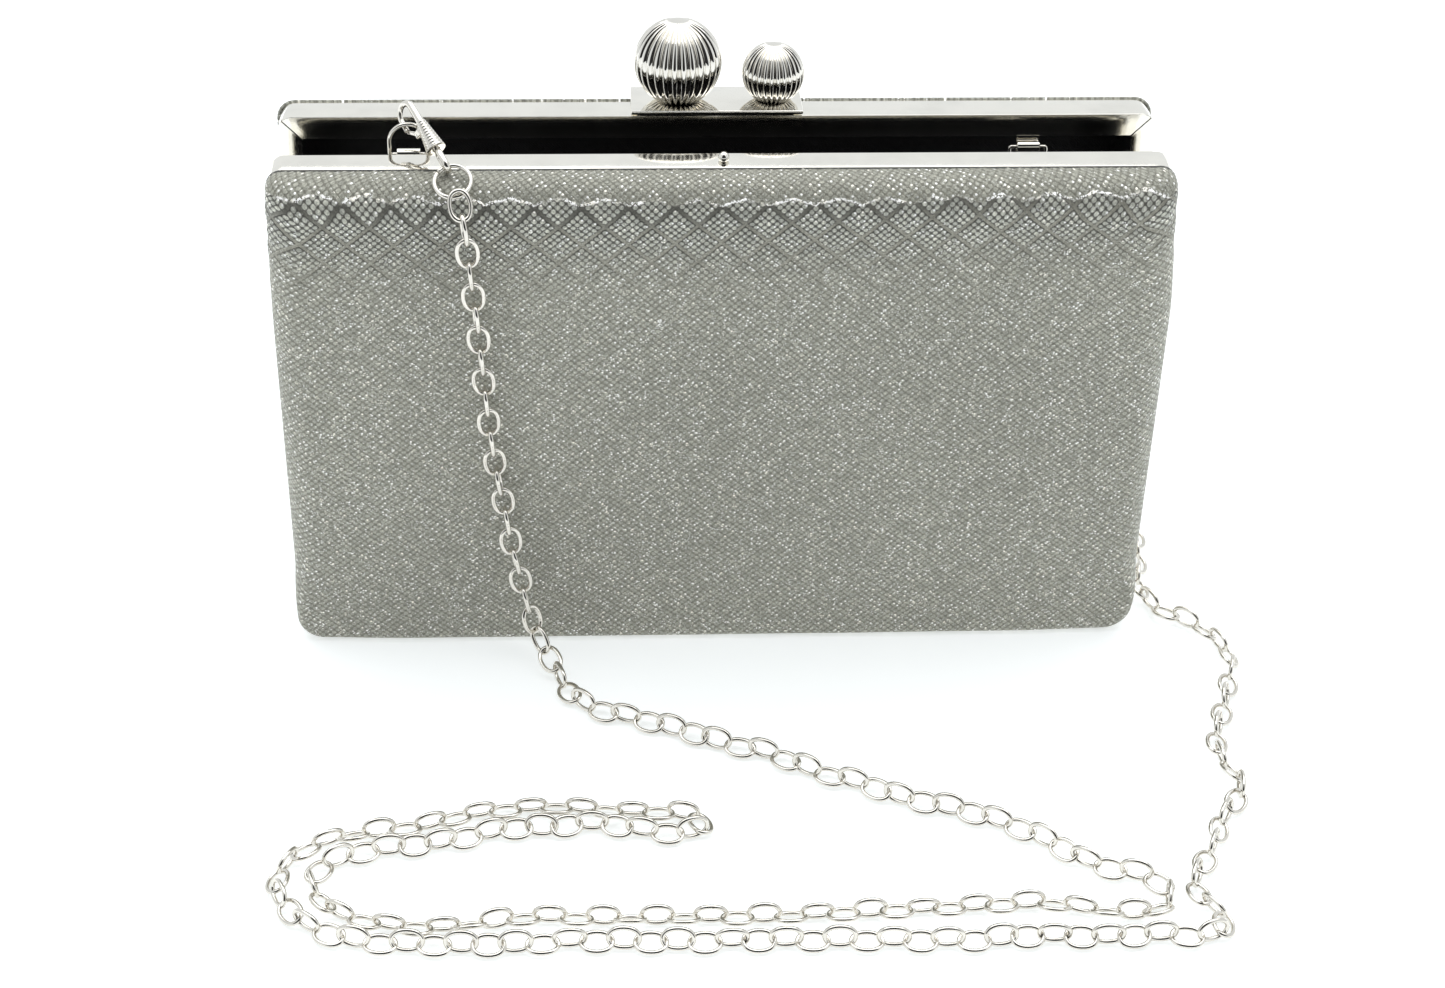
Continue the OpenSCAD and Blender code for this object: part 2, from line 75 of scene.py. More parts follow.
class Nodes:
    """Short calls for building a node tree."""

    def __init__(self, name, fit_slot):
        self.material = bpy.data.materials.new(name)
        self.material.use_nodes = True
        self.tree = self.material.node_tree
        self.bsdf = self.tree.nodes["Principled BSDF"]
        self.slot = fit_slot

    def add(self, kind, **values):
        node = self.tree.nodes.new(kind)
        for key, value in values.items():
            setattr(node, key, value)
        return node

    def link(self, a, b):
        self.tree.links.new(a, b)

    def put(self, socket, value):
        if isinstance(value, bpy.types.NodeSocket):
            self.link(value, socket)
        else:
            socket.default_value = value

    def math(self, operation, a, b=0.0, c=0.0, clamp=False):
        node = self.add("ShaderNodeMath", operation=operation, use_clamp=clamp)
        for i, v in enumerate((a, b, c)):
            self.put(node.inputs[i], v)
        return node.outputs[0]

    def times(self, *values):
        out = values[0]
        for value in values[1:]:
            out = self.math("MULTIPLY", out, value)
        return out

    def plus(self, a, b):
        return self.math("ADD", a, b)

    def minus(self, a, b):
        return self.math("SUBTRACT", a, b)

    def over(self, a, b):
        return self.math("DIVIDE", a, b)

    def rest(self, share):
        return self.math("SUBTRACT", 1.0, share)

    def ramp(self, x, low, high, to_low=0.0, to_high=1.0):
        """x carried smoothly from low..high to to_low..to_high."""
        node = self.add("ShaderNodeMapRange", interpolation_type="SMOOTHSTEP")
        for i, v in enumerate((x, low, high, to_low, to_high)):
            self.put(node.inputs[i], v)
        return node.outputs[0]

    def mix(self, share, a, b, clamp=True):
        node = self.add("ShaderNodeMix", data_type="RGBA", clamp_factor=clamp)
        self.put(node.inputs["Factor"], share)
        self.put(node.inputs["A"], a)
        self.put(node.inputs["B"], b)
        return node.outputs["Result"]

    def join(self, x, y, z=0.0):
        node = self.add("ShaderNodeCombineXYZ")
        for i, v in enumerate((x, y, z)):
            self.put(node.inputs[i], v)
        return node.outputs[0]

    def uv(self):
        parts = self.add("ShaderNodeSeparateXYZ")
        self.link(self.add("ShaderNodeUVMap").outputs[0], parts.inputs[0])
        return parts.outputs[0], parts.outputs[1]

    def noise(self, scale, detail=2.0, vector=None, roughness=0.5):
        node = self.add("ShaderNodeTexNoise")
        if vector is None:
            vector = self.add("ShaderNodeTexCoord").outputs["Object"]
        self.link(vector, node.inputs["Vector"])
        node.inputs["Scale"].default_value = scale
        node.inputs["Detail"].default_value = detail
        node.inputs["Roughness"].default_value = roughness
        return node.outputs[0]

    def white(self, vector):
        """Three random numbers for each whole-numbered spot."""
        node = self.add("ShaderNodeTexWhiteNoise", noise_dimensions="2D")
        self.link(vector, node.inputs["Vector"])
        parts = self.add("ShaderNodeSeparateColor")
        self.link(node.outputs["Color"], parts.inputs[0])
        return node.outputs["Value"], parts.outputs[0], parts.outputs[1]

    def bump(self, height, distance, strength=1.0, before=None):
        node = self.add("ShaderNodeBump")
        node.inputs["Strength"].default_value = strength
        node.inputs["Distance"].default_value = distance
        self.link(height, node.inputs["Height"])
        if before is not None:
            self.link(before, node.inputs["Normal"])
        return node.outputs[0]

    def set(self, **values):
        for name, value in values.items():
            self.put(self.bsdf.inputs[name.replace("_", " ")], value)


def rgb(r, g, b):
    return (r, g, b, 1.0)


# Embossed diamonds, in the millimetres of the unrolled cover
DIAMOND_W, DIAMOND_H = 10.75, 9.5
DIAMOND_X, DIAMOND_Z = -6.2, 123.6
ASKEW, ASKEW_X = 0.00024, -48.0  # rows sag by ASKEW times the square of the way from ASKEW_X
EMBOSS = 0.28
CREST_Z, CREST_WAVE, CREST_RAGGED = 128.9, 3.0, 1.2
ROW_BEADS, BEAD_PITCH = 5, 0.177
BEADS_APART = 7.0  # keeps the numbers of beads in different diamonds apart
FLAKES = 24.0
TONE = 1.16


def glitter_fabric():
    """Glitter beads in embossed diamonds, five beads a side, that fade away downwards, with painted
    glints, a painted highlight on the crest and painted shade in the grooves and along the seam.
    """
    n = Nodes("glitter_fabric", "glitter_fabric")
    u, v = n.uv()
    off = n.minus(u, ASKEW_X)
    off_squared = n.times(off, off)
    level = n.minus(v, n.times(off_squared, ASKEW))
    x = n.over(n.minus(u, DIAMOND_X), DIAMOND_W)
    z = n.over(n.minus(level, DIAMOND_Z), DIAMOND_H)
    p, q = n.plus(x, z), n.minus(x, z)

    # shares of the way up from the two lower sides of a diamond, then in beads
    up_p, up_q = n.math("FRACT", p), n.rest(n.math("FRACT", q))
    bead_p, bead_q = n.over(up_p, BEAD_PITCH), n.over(up_q, BEAD_PITCH)
    own_p = n.plus(n.times(n.math("FLOOR", p), BEADS_APART), n.math("FLOOR", bead_p))
    own_q = n.plus(n.times(n.math("FLOOR", q), BEADS_APART), n.math("FLOOR", bead_q))
    chance, shift_a, shift_b = n.white(n.join(own_p, own_q))
    flake_p = n.math("FLOOR", n.times(p, FLAKES))
    flake_q = n.math("FLOOR", n.times(q, FLAKES))
    speck = n.white(n.join(flake_p, flake_q))[0]
    off_p = n.minus(n.math("FRACT", bead_p), 0.5)
    off_q = n.minus(n.math("FRACT", bead_q), 0.5)

    def away(from_p, from_q):
        a, b = n.minus(off_p, from_p), n.minus(off_q, from_q)
        return n.math("SQRT", n.plus(n.times(a, a), n.times(b, b)))

    farther = n.math("MAXIMUM", bead_p, bead_q)
    channel = n.ramp(farther, ROW_BEADS - 0.05, ROW_BEADS + 0.12)
    bead = n.ramp(away(0.0, 0.0), 0.30, 0.55, 1.0, 0.0)

    # the pattern ends in a wavy, ragged crest on the shoulder
    drop = n.times(off_squared, 2 * ASKEW / DIAMOND_H)
    row = n.math("FLOOR", n.minus(2 * (129.0 - DIAMOND_Z) / DIAMOND_H + 0.35, drop))
    phase = n.plus(x, n.times(row, 0.5))
    wave = n.math("ABSOLUTE", n.minus(n.math("FRACT", phase), 0.5))
    crest = n.plus(CREST_Z, n.times(n.minus(0.5, wave), CREST_WAVE))
    crest = n.minus(crest, n.times(n.noise(700.0, 2.0), CREST_RAGGED))
    above = n.minus(v, crest)
    below = n.ramp(above, -0.5, 0.1, 1.0, 0.0)
    past = n.rest(below)
    fade = n.times(n.ramp(level, 97.0, 125.0), below)
    crisp = n.times(n.ramp(level, 106.0, 123.0, 0.45, 1.0), n.rest(n.times(past, 0.6)))
    first = n.ramp(level, 119.0, 127.5)
    channel = n.times(channel, fade)
    bead = n.times(bead, n.rest(channel))
    # painted highlight: a broken bright line along the crest, in the base colour and the emission
    broken = n.times(n.ramp(n.noise(260.0, 2.0), 0.42, 0.58), n.ramp(speck, 0.25, 0.5))
    crest_highlight = n.times(n.ramp(n.math("ABSOLUTE", above), 0.12, 0.45, 1.0, 0.0), broken)

    # painted glints: near-white spots put into the base colour, off-centre on some beads and on rare
    # flakes between them
    shift_p = n.times(n.minus(shift_a, 0.5), 0.6)
    shift_q = n.times(n.minus(shift_b, 0.5), 0.6)
    dot = n.ramp(away(shift_p, shift_q), 0.09, 0.27, 1.0, 0.0)
    glint = n.times(n.ramp(chance, 0.58, 0.9), dot)
    flake_glints = n.times(n.ramp(speck, 0.91, 0.98), 0.75, n.rest(n.times(first, 0.8)))
    glint = n.times(n.math("MAXIMUM", glint, flake_glints), n.rest(channel))
    stronger_past = n.plus(0.8, n.times(past, 0.5))
    glint = n.math("MULTIPLY", glint, stronger_past, clamp=True)
    glint = n.math("MAXIMUM", glint, crest_highlight)

    # colours of the gaps, the beads and the ground in the channels, the ground darkened in the top row
    # as painted shade in the deeper grooves
    gap = n.mix(crisp, rgb(0.215, 0.208, 0.17), rgb(0.085, 0.083, 0.07))
    beads = n.mix(shift_b, rgb(0.41, 0.415, 0.37), rgb(0.56, 0.56, 0.49))
    ground_and_groove_shade = n.mix(n.times(first, below), rgb(0.37, 0.36, 0.30), rgb(0.12, 0.118, 0.10))
    cloth = n.mix(n.times(bead, n.plus(0.45, n.times(crisp, 0.55))), gap, beads)
    cloth = n.mix(n.times(n.rest(crisp), 0.5), cloth, rgb(0.34, 0.335, 0.27))
    cloth = n.mix(channel, cloth, ground_and_groove_shade)
    grain = n.plus(0.74, n.times(speck, 0.52))
    # painted shade: beads near the upper sides of a diamond, under the edge of the diamond above, are
    # darkened
    hollow_shade = n.ramp(farther, 3.0, 5.2, 1.0, 0.82)
    hollow_shade = n.plus(1.0, n.times(n.minus(hollow_shade, 1.0), fade))
    patch = n.ramp(n.noise(18.0, 2.0), 0.3, 0.7, 0.95, 1.05)
    shade = n.times(grain, hollow_shade, patch, TONE, n.rest(n.times(past, 0.08)))

    # painted shadow: a dark ragged line in the crease where the fabric is tucked in beside the front
    # band
    seam_shadow = n.add("ShaderNodeAttribute", attribute_name="seam_shadow").outputs["Fac"]
    seam_shadow = n.plus(seam_shadow, n.times(n.minus(n.noise(900.0, 2.0), 0.5), 1.2))
    seam_shadow = n.ramp(seam_shadow, 0.55, 0.8)
    shade = n.times(shade, n.rest(n.times(seam_shadow, 0.85)))
    glint = n.times(glint, n.rest(seam_shadow))

    tinted = n.mix(shade, rgb(0, 0, 0), cloth, clamp=False)
    # near-white colour of the painted glints
    glint_colour = n.mix(n.ramp(shift_b, 0.55, 0.95), rgb(0.97, 0.97, 0.96), rgb(0.96, 0.91, 0.8))
    low_side = n.math("MINIMUM", up_p, up_q)
    height = n.times(n.rest(low_side), fade, 0.7)
    height = n.plus(height, n.times(bead, crisp, 0.25))
    height = n.minus(height, n.times(channel, 0.25))
    height = n.plus(height, n.times(below, 0.35))
    height = n.plus(height, n.times(speck, 0.06))
    # the painted crest highlight and some painted glints glow
    highlight_glow = n.math("MAXIMUM", crest_highlight, n.times(glint, n.ramp(shift_a, 0.5, 0.9)))
    n.set(
        Base_Color=n.mix(glint, tinted, glint_colour),
        Metallic=n.times(bead, 0.3),
        Roughness=n.minus(0.5, n.times(glint, 0.22)),
        Normal=n.bump(height, 1.0 * MM),
        Emission_Color=rgb(1.0, 1.0, 1.0),
        Emission_Strength=n.times(highlight_glow, 0.35),
    )
    return n


def nickel(name, colour=(0.91, 0.885, 0.82), rough=0.085):
    """Polished nickel plate with faint smears and fine scratches."""
    n = Nodes(name, "nickel")
    smear = n.noise(90.0, 3.0)
    fine = n.noise(900.0, 4.0, roughness=0.65)
    dull = rgb(*[c * 0.93 for c in colour])
    n.set(
        Base_Color=n.mix(n.ramp(smear, 0.35, 0.7), rgb(*colour), dull),
        Metallic=1.0,
        Roughness=n.plus(rough, n.ramp(fine, 0.45, 0.8, 0.0, 0.07)),
        Normal=n.bump(n.plus(n.times(fine, 0.6), smear), 0.02 * MM, 0.35),
    )
    return n


def lining_cloth():
    """Black twill."""
    n = Nodes("lining_cloth", "lining")
    u, v = n.uv()
    twill = n.math("SINE", n.times(n.plus(u, v), 9.0))
    warp = n.math("SINE", n.times(n.minus(u, v), 9.0))
    weave = n.plus(twill, n.times(warp, 0.4))
    patch = n.noise(40.0, 3.0)
    n.set(
        Base_Color=n.mix(
            n.ramp(patch, 0.3, 0.7), rgb(0.007, 0.007, 0.008), rgb(0.014, 0.014, 0.015)
        ),
        Roughness=0.72,
        Normal=n.bump(n.plus(weave, n.times(patch, 6.0)), 0.05 * MM),
    )
    n.bsdf.inputs["Sheen Weight"].default_value = 0.15
    n.bsdf.inputs["Sheen Roughness"].default_value = 0.4
    return n


def fibre_board():
    """Brown moulded board."""
    n = Nodes("fibre_board", "board")
    grain = n.noise(400.0, 5.0, roughness=0.7)
    n.set(
        Base_Color=n.mix(grain, rgb(0.06, 0.05, 0.04), rgb(0.12, 0.10, 0.08)),
        Roughness=0.85,
        Normal=n.bump(grain, 0.1 * MM),
    )
    return n


def foam():
    """Grey foam."""
    n = Nodes("foam", "padding")
    grain = n.noise(1400.0, 3.0)
    n.set(
        Base_Color=n.mix(grain, rgb(0.10, 0.10, 0.10), rgb(0.2, 0.2, 0.2)),
        Roughness=0.9,
        Normal=n.bump(grain, 0.2 * MM),
    )
    return n


FABRIC = glitter_fabric()
NICKEL = nickel("nickel")
NICKEL_WIRE = nickel("nickel_wire", colour=(0.77, 0.74, 0.68), rough=0.1)
NICKEL_KNOB = nickel("nickel_knob", colour=(0.82, 0.795, 0.74), rough=0.04)
LINING = lining_cloth()
BOARD = fibre_board()
FOAM = foam()


# ---------------------------------------------------------------- meshes


def piece(name, verts, faces, place, look, body, replaced=(), uvs=None, sharp=None):
    """A mesh of vertices in millimetres, placed by a matrix and riding on a body."""
    mesh = bpy.data.meshes.new(name)
    flip = place is not None and place.determinant() < 0
    points = [(place @ Vector(v) if place is not None else Vector(v)) * MM for v in verts]
    mesh.from_pydata(points, [], [tuple(reversed(f)) if flip else tuple(f) for f in faces])
    mesh.polygons.foreach_set("use_smooth", [True] * len(mesh.polygons))
    if uvs is not None:
        layer = mesh.uv_layers.new(name="UVMap")
        for loop in mesh.loops:
            layer.data[loop.index].uv = uvs[loop.vertex_index]
    if sharp is not None:
        mesh.set_sharp_from_angle(angle=math.radians(sharp))
    mesh.materials.append(look.material)
    obj = bpy.data.objects.new(name, mesh)
    bpy.context.scene.collection.objects.link(obj)
    if body is not None:
        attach(obj, body)
    if replaced:
        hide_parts(*replaced)
    return obj


def apply_modifiers(obj):
    dg = bpy.context.evaluated_depsgraph_get()
    obj.data = bpy.data.meshes.new_from_object(obj.evaluated_get(dg))
    obj.modifiers.clear()


BOX_FACES = (
    (0, 2, 3, 1), (4, 5, 7, 6), (0, 1, 5, 4), (2, 6, 7, 3), (0, 4, 6, 2), (1, 3, 7, 5)
)


def cut(obj, boxes):
    """Cuts boxes, each (matrix, low corner, high corner) in millimetres, out of a piece."""
    verts, faces = [], []
    for matrix, low, high in boxes:
        base = len(verts)
        for i in range(8):
            corner = [high[k] if i >> k & 1 else low[k] for k in range(3)]
            verts.append(matrix @ Vector(corner))
        for f in BOX_FACES:
            faces.append([base + i for i in f])
    tool = bpy.data.meshes.new("tool")
    tool.from_pydata([v * MM for v in verts], [], faces)
    tool_obj = bpy.data.objects.new("tool", tool)
    bpy.context.scene.collection.objects.link(tool_obj)
    bm = bmesh.new()
    bm.from_mesh(tool)
    bmesh.ops.recalc_face_normals(bm, faces=bm.faces)
    bm.to_mesh(tool)
    bm.free()
    m = obj.modifiers.new("cut", "BOOLEAN")
    m.operation, m.solver, m.object = "DIFFERENCE", "EXACT", tool_obj
    bpy.context.view_layer.update()
    apply_modifiers(obj)
    bpy.data.objects.remove(tool_obj)


def loft(rings, closed=True, cap=True):
    """Vertices and faces of a skin over rings of equal length."""
    verts = [p for ring in rings for p in ring]
    m = len(rings[0])
    faces = []
    spans = len(rings) if closed else len(rings) - 1
    for i in range(spans):
        j = (i + 1) % len(rings)
        for k in range(m):
            l = (k + 1) % m
            faces.append((i * m + k, i * m + l, j * m + l, j * m + k))
    if cap and not closed:
        faces.append(tuple(range(m - 1, -1, -1)))
        faces.append(tuple((len(rings) - 1) * m + k for k in range(m)))
    return verts, faces


def merge(parts):
    """One part of several (vertices, faces) parts."""
    verts, faces = [], []
    for vs, fs in parts:
        base = len(verts)
        verts += [Vector(v) for v in vs]
        faces += [[base + i for i in f] for f in fs]
    return verts, faces


def moved(part, matrix):
    return [matrix @ Vector(v) for v in part[0]], part[1]


def wire(path, radius, closed=False, sides=12, flat=1.0, up=None):
    """A wire along a path in millimetres.

    radius is one number or one for each point; flat thins or thickens it along up.
    """
    points = [Vector(p) for p in path]
    count = len(points)
    radii = radius if isinstance(radius, (list, tuple)) else [radius] * count
    turns = [2 * math.pi * k / sides for k in range(sides)]
    rings = []
    last = Vector(up) if up is not None else None
    for i, p in enumerate(points):
        a = points[(i - 1) % count] if closed or i > 0 else p
        b = points[(i + 1) % count] if closed or i < count - 1 else p
        t = (b - a).normalized()
        if last is None:
            last = t.orthogonal()
        n = (last - t * last.dot(t)).normalized()
        if up is None:
            last = n
        s = t.cross(n)
        rings.append(
            [
                p + radii[i] * (math.cos(w) * s + flat * math.sin(w) * n)
                for w in turns
            ]
        )
    return loft(rings, closed=closed)


def lathe(profile, sides=48):
    """Turned shape of (radius, height) points; a radius of 0 closes an end."""
    turns = [2 * math.pi * k / sides for k in range(sides)]
    rings = [
        [Vector((r * math.cos(w), r * math.sin(w), h)) for w in turns] for r, h in profile
    ]
    return loft(rings, closed=False)


def block(low, high, bevel=0.15, steps=2):
    """A box with rounded edges."""
    bm = bmesh.new()
    bmesh.ops.create_cube(bm, size=1.0)
    for v in bm.verts:
        v.co = Vector([(low[k] + high[k]) / 2 + v.co[k] * (high[k] - low[k]) for k in range(3)])
    bmesh.ops.bevel(
        bm, geom=bm.edges[:], offset=bevel, segments=steps, profile=0.5, affect="EDGES"
    )
    bm.verts.ensure_lookup_table()
    part = [v.co.copy() for v in bm.verts], [[v.index for v in f.verts] for f in bm.faces]
    bm.free()
    return part


def turned(degrees, axis):
    return Matrix.Rotation(math.radians(degrees), 4, axis)


def arc_points(centre, radius, a0, a1, count):
    """Points as (a, b) on an arc in a plane, angles in degrees."""
    turns = [math.radians(a0 + (a1 - a0) * i / count) for i in range(count + 1)]
    return [(centre[0] + radius * math.cos(w), centre[1] + radius * math.sin(w)) for w in turns]


# ---------------------------------------------------------------- outline of the case


def smooth(x, low, high):
    t = min(max((x - low) / (high - low), 0.0), 1.0)
    return t * t * (3 - 2 * t)


def round_corner(x, z, inset):
    """Moves a point of the square outline at this inset on to the outline with rounded corners."""
    top = z > CASE_H / 2
    r = max((TOP_CORNER_R if top else BOTTOM_CORNER_R) - inset, 0.05)
    xc = HALF_W - inset - r
    zc = (Z1 - inset - r) if top else (Z0 + inset + r)
    dx, dz = abs(x) - xc, (z - zc) if top else (zc - z)
    if dx <= 1e-9 or dz <= 1e-9:
        return x, z
    turn = math.radians(45 * dz / dx) if dx >= dz else math.radians(90 - 45 * dx / dz)
    return math.copysign(xc + r * math.cos(turn), x), zc + (1 if top else -1) * r * math.sin(turn)


def shares(length, n, zone=8.0, steps=8):
    """Shares of the way along a side, closer together near both corners."""
    k = zone / length
    start = [k * i / steps for i in range(steps)]
    middle = [k + (1 - 2 * k) * i / n for i in range(n)]
    return start + middle + [1 - k + k * i / steps for i in range(steps)]


def edge_spots(nx, nz):
    """Sides and shares of the outline's points: bottom, right, top, left."""
    sx, sz = shares(2 * HALF_W, nx), shares(Z1 - Z0, nz)
    return [(side, t) for side, ts in zip("brtl", (sx, sz, sx, sz)) for t in ts]


def square_point(spot, inset):
    side, s = spot
    x0, x1, z0, z1 = -HALF_W + inset, HALF_W - inset, Z0 + inset, Z1 - inset
    if side == "b":
        return x0 + (x1 - x0) * s, z0
    if side == "r":
        return x1, z0 + (z1 - z0) * s
    if side == "t":
        return x1 - (x1 - x0) * s, z1
    return x0, z1 - (z1 - z0) * s


def outline_point(spot, inset):
    return round_corner(*square_point(spot, inset), inset)


def round_at(spot):
    """Radius of the rounding between the walls and the face: smaller along the bottom."""
    z = square_point(spot, 0)[1]
    return BOTTOM_R + (SHOULDER_R - BOTTOM_R) * smooth(z, 4, 22)


def case_skin(inset, rim, nx=190, nz=116, puff=0.0, arc_steps=10):
    """Open skin of a half: vertices, faces and unrolled coordinates.

    rim lists (inset, y) from the mating side.
    """
    spots = edge_spots(nx, nz)
    sx, sz = shares(2 * HALF_W, nx) + [1.0], shares(Z1 - Z0, nz) + [1.0]
    nx, nz = len(sx) - 1, len(sz) - 1
    verts, uvs, faces = [], [], []
    m = len(spots)
    depth = DEPTH - inset

    inner = [square_point(s, round_at(s)) for s in spots]
    dirs = []
    for s, b in zip(spots, inner):
        x, z = outline_point(s, 0)
        d = Vector((x - b[0], z - b[1]))
        dirs.append(d.normalized() if d.length > 1e-6 else Vector((0, 0)))
    rows = []
    for k, y in rim:
        rows.append([(outline_point(s, k), y, s) for s in spots])
    wall_top = rim[-1][1]
    wall_rows = 4
    for i in range(1, wall_rows + 1):
        rows.append(
            [
                (
                    outline_point(s, inset),
                    wall_top + (DEPTH - round_at(s) - wall_top) * i / wall_rows,
                    s,
                )
                for s in spots
            ]
        )
    for i in range(1, arc_steps + 1):
        w = math.pi / 2 * i / arc_steps
        rows.append(
            [
                (
                    outline_point(s, inset + (round_at(s) - inset) * (1 - math.cos(w))),
                    DEPTH - round_at(s) + (round_at(s) - inset) * math.sin(w),
                    s,
                )
                for s in spots
            ]
        )
    for row in rows:
        for k, ((x, z), y, s) in enumerate(row):
            r = round_at(s)
            turn = math.asin(min(max((y - (DEPTH - r)) / max(r - inset, 0.1), 0), 1))
            length = r * (math.pi / 2 - turn) + max(DEPTH - r - y, 0)
            verts.append([x, y, z])
            uvs.append((inner[k][0] + dirs[k][0] * length, inner[k][1] + dirs[k][1] * length))
    for i in range(len(rows) - 1):
        for k in range(m):
            l = (k + 1) % m
            faces.append((i * m + k, (i + 1) * m + k, (i + 1) * m + l, i * m + l))
    # the face inside the last row
    last = (len(rows) - 1) * m
    grid = {}
    for i in range(nx + 1):
        grid[i, 0] = last + i if i < nx else last + nx
        grid[i, nz] = last + nx + nz + (nx - i) if i > 0 else last + (2 * nx + nz) % m
    for j in range(nz + 1):
        grid[nx, j] = last + nx + j
        grid[0, j] = last + (2 * nx + nz + (nz - j)) % m
    grid[0, 0] = last
    grid[0, nz] = last + 2 * nx + nz
    for i in range(1, nx):
        for j in range(1, nz):
            left, right = verts[grid[0, j]], verts[grid[nx, j]]
            low, high = verts[grid[i, 0]], verts[grid[i, nz]]
            x = left[0] + (right[0] - left[0]) * sx[i]
            z = low[2] + (high[2] - low[2]) * sz[j]
            grid[i, j] = len(verts)
            verts.append([x, depth, z])
            uvs.append((x, z))
    for i in range(nx):
        for j in range(nz):
            faces.append((grid[i, j], grid[i, j + 1], grid[i + 1, j + 1], grid[i + 1, j]))
    if puff:
        for v in verts:
            if v[1] > DEPTH - 6:
                share = smooth(v[1], DEPTH - 6, DEPTH - 1)
                v[1] += puff * share * noise.noise(Vector((v[0] * 0.03, v[2] * 0.04, puff * 9)))
    return verts, faces, uvs


def fuller(v, w, left, right):
    """Swells a point of the cover as the padding under it does.

    It swells most at the sides and low on the face. left and right are millimetres. The rear
    cover, beside the wider band, is drawn down at its top edge.
    """
    x, y, z = v
    up = smooth(z, -4, 12) * smooth(128 - z, 0, 35)
    past = smooth(y, w + 0.8, w + 6)
    push = (right if x > 0 else left) * up * past * smooth(abs(x), 40, 105)
    middle = smooth(HALF_W - abs(x), 0, 30)
    face = smooth(y, DEPTH - 6, DEPTH) * smooth(128 - z, 0, 50) * (0.5 + 0.9 * middle)
    v[0] += math.copysign(push, x)
    if w > BAND["front"]:
        v[2] -= smooth(z, 110, 131) * (0.75 + 0.55 * smooth(y, w + 1, w + 3.5))
    v[1] += face


def emboss(u, v):
    """Height of the embossed diamonds at a point of the unrolled cover."""
    level = v - ASKEW * (u - ASKEW_X) ** 2
    x, z = (u - DIAMOND_X) / DIAMOND_W, (level - DIAMOND_Z) / DIAMOND_H
    p, q = (x + z) % 1.0, (x - z) % 1.0
    near_edge = min(p, 1 - p, q, 1 - q)
    fade = smooth(level, 94, 122) * (1 - smooth(v, 126.5, 129.0))
    return EMBOSS * smooth(near_edge, 0.0, 0.26) * fade


COVER_T, LINING_T = 0.5, 0.35
SWELL = {"front": (0.9, 2.3), "rear": (1.5, 1.5)}  # left and right
SEAM_SHADOW = {"front": 1.0, "rear": 0.0}
HINGE_X = (-60, 60)


def cover(side):
    """Padded fabric face of a half, tucked in beside the metal band."""
    w = BAND[side]
    rim = [(1.0, w + 0.1), (0.55, w + 0.06), (0.25, w + 0.18), (0.07, w + 0.42), (0.0, w + 0.8)]
    verts, faces, uvs = case_skin(0.0, rim, puff=0.14)
    for v in verts:
        fuller(v, w, *SWELL[side])
    obj = piece(side + "_cover_fabric", verts, faces, PLACE[side], FABRIC, None, uvs=uvs)
    normals = [n.vector.copy() for n in obj.data.vertex_normals]
    for point, normal, uv in zip(obj.data.vertices, normals, uvs):
        point.co += normal * emboss(*uv) * MM
    # painted shadow in the crease beside the front band, kept on the points for the fabric's shader
    seam_shadow_layer = obj.data.attributes.new("seam_shadow", "FLOAT", "POINT")
    dark = SEAM_SHADOW[side]
    seam_shadow_layer.data.foreach_set("value", [dark * smooth(w + 1.9 - v[1], 0.0, 0.9) for v in verts])
    m = obj.modifiers.new("thickness", "SOLIDIFY")
    m.thickness, m.offset = COVER_T * MM, -1
    apply_modifiers(obj)
    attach(obj, BODY[side])
    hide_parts(side + "_cover", side + "_padding")
    return obj


def lining(side):
    """Black cloth inside a half, a little loose."""
    rim = [(3.3, 1.0), (3.2, 1.5)]
    verts, faces, uvs = case_skin(3.2, rim, nx=100, nz=64, puff=0.5, arc_steps=6)
    obj = piece(side + "_lining_cloth", verts, faces, PLACE[side], LINING, None, uvs=uvs)
    m = obj.modifiers.new("thickness", "SOLIDIFY")
    m.thickness, m.offset = LINING_T * MM, 0
    apply_modifiers(obj)
    # windows for the hinge leaves
    cut(obj, [(PLACE[side], (x - 13.3, -1, -3), (x + 13.3, 2.0, 6.4)) for x in HINGE_X])
    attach(obj, BODY[side])
    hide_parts(side + "_lining")
    return obj


def rounded_section(points, r=0.18, steps=2):
    """Closed section of (inset, y) corners with each corner rounded."""
    out = []
    count = len(points)
    for i in range(count):
        a, b, c = (Vector(points[(i + k) % count]) for k in (-1, 0, 1))
        u, w = (a - b), (c - b)
        k = min(r, u.length / 3, w.length / 3)
        p, q = b + u.normalized() * k, b + w.normalized() * k
        for j in range(steps + 1):
            t = j / steps
            out.append(((1 - t) ** 2) * p + 2 * t * (1 - t) * b + t * t * q)
    return out


def metal_frame(side):
    """L-section frame: band outside, lip in the mating plane, mitred corners."""
    w = BAND[side]
    outer, inner, lip = 0.5, 1.3, 6.1
    section = rounded_section(
        [(outer, 0.15), (outer, w), (inner, w), (inner, 0.95), (lip, 0.95), (lip, 0.15)], 0.22, 3
    )
    spots = edge_spots(60, 38)
    rings = []
    for s in spots:
        ring = []
        for inset, y in section:
            x, z = outline_point(s, inset)
            ring.append(Vector((x, y, z)))
        rings.append(ring)
    verts, faces = loft(rings)
    obj = piece(side + "_frame_metal", verts, faces, PLACE[side], NICKEL, None, sharp=22)
    boxes = []
    for x in (-1, 1):
        for top in (0, 1):
            corner = Matrix.Translation((x * 105, 0, top * 132)) @ Matrix.Rotation(
                math.radians(x * (45 if top else 135)), 4, "Y"
            )
            boxes.append((PLACE[side] @ corner, (-0.14, -1, -11.5), (0.14, 1.6, -1.4)))
    for x in HINGE_X:
        boxes.append((PLACE[side], (x - 13.2, -1, -2), (x + 13.2, 2.0, 2.2)))
    cut(obj, boxes)
    obj.data.set_sharp_from_angle(angle=math.radians(22))
    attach(obj, BODY[side])
    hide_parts(side + "_frame")
    return obj


# ---------------------------------------------------------------- clasp

PLATE_TOP = 134.0


